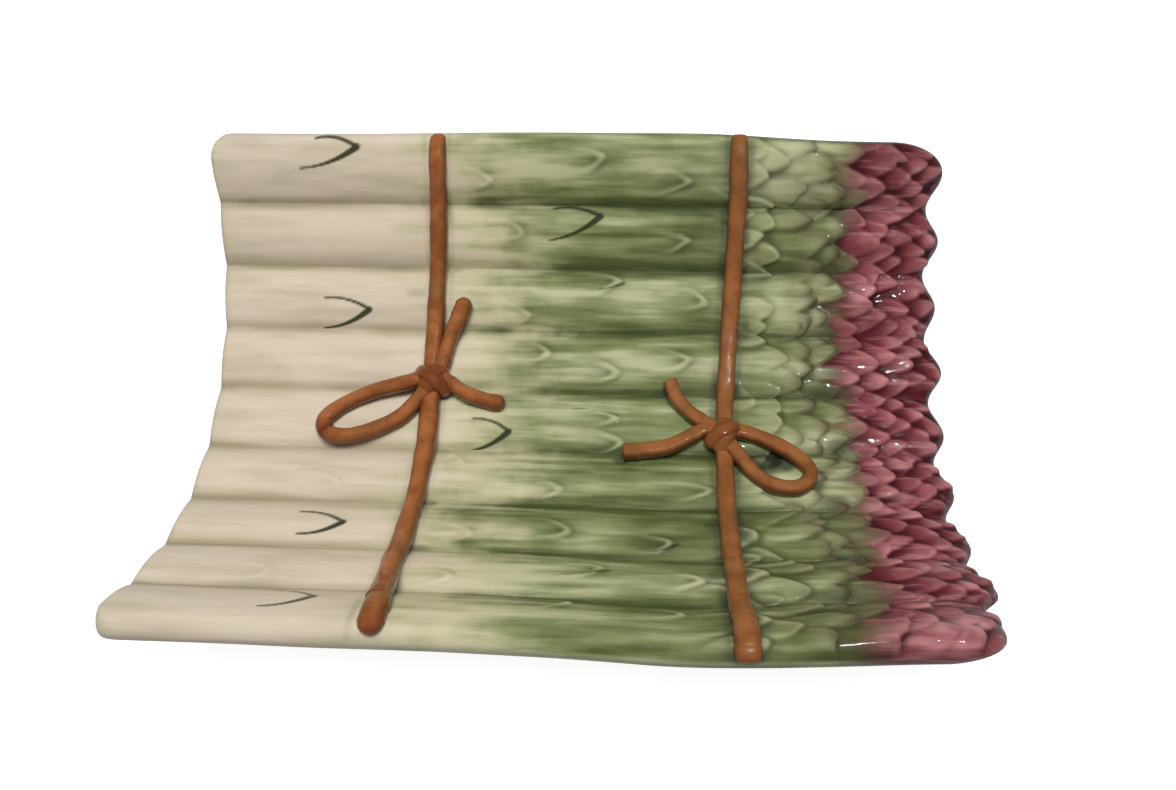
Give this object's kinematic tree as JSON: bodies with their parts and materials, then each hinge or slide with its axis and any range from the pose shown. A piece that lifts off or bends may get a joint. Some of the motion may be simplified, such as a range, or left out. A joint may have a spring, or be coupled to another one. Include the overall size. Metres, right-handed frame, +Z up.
{
  "type": "asparagus serving plate",
  "caption": "Trough-shaped serving plate moulded as a bundle of asparagus spears, tied with two clay cords in bows, on a foot ring.",
  "frame": {"origin": "on the table, under the middle of the plate", "axes": "+X along the spears from the butts to the tips, +Y to the back rim, +Z up"},
  "size_m": [0.306, 0.2154, 0.0714],
  "materials": {
    "spear_glaze": "hand-painted gloss glaze, ivory butts to sage green shafts to maroon tips",
    "tie_glaze": "rust-brown gloss glaze, darker in the creases",
    "foot_glaze": "ivory gloss glaze, wiped bare on the resting edge"
  },
  "bodies": {
    "root": {"spear_1": "spear_glaze", "spear_2": "spear_glaze", "spear_3": "spear_glaze", "spear_4": "spear_glaze", "spear_5": "spear_glaze", "spear_6": "spear_glaze", "spear_7": "spear_glaze", "spear_8": "spear_glaze", "spear_9": "spear_glaze", "foot_ring": "foot_glaze", "left_knot": "tie_glaze", "left_knot_wrap": "tie_glaze", "left_back_strand": "tie_glaze", "left_front_strand": "tie_glaze", "left_front_end": "tie_glaze", "left_bow_loop": "tie_glaze", "left_tail_back": "tie_glaze", "left_tail_side": "tie_glaze", "right_knot": "tie_glaze", "right_knot_wrap": "tie_glaze", "right_back_strand": "tie_glaze", "right_front_strand": "tie_glaze", "right_front_end": "tie_glaze", "right_bow_loop": "tie_glaze", "right_tail_back": "tie_glaze", "right_tail_side": "tie_glaze"}
  },
  "joints": []
}
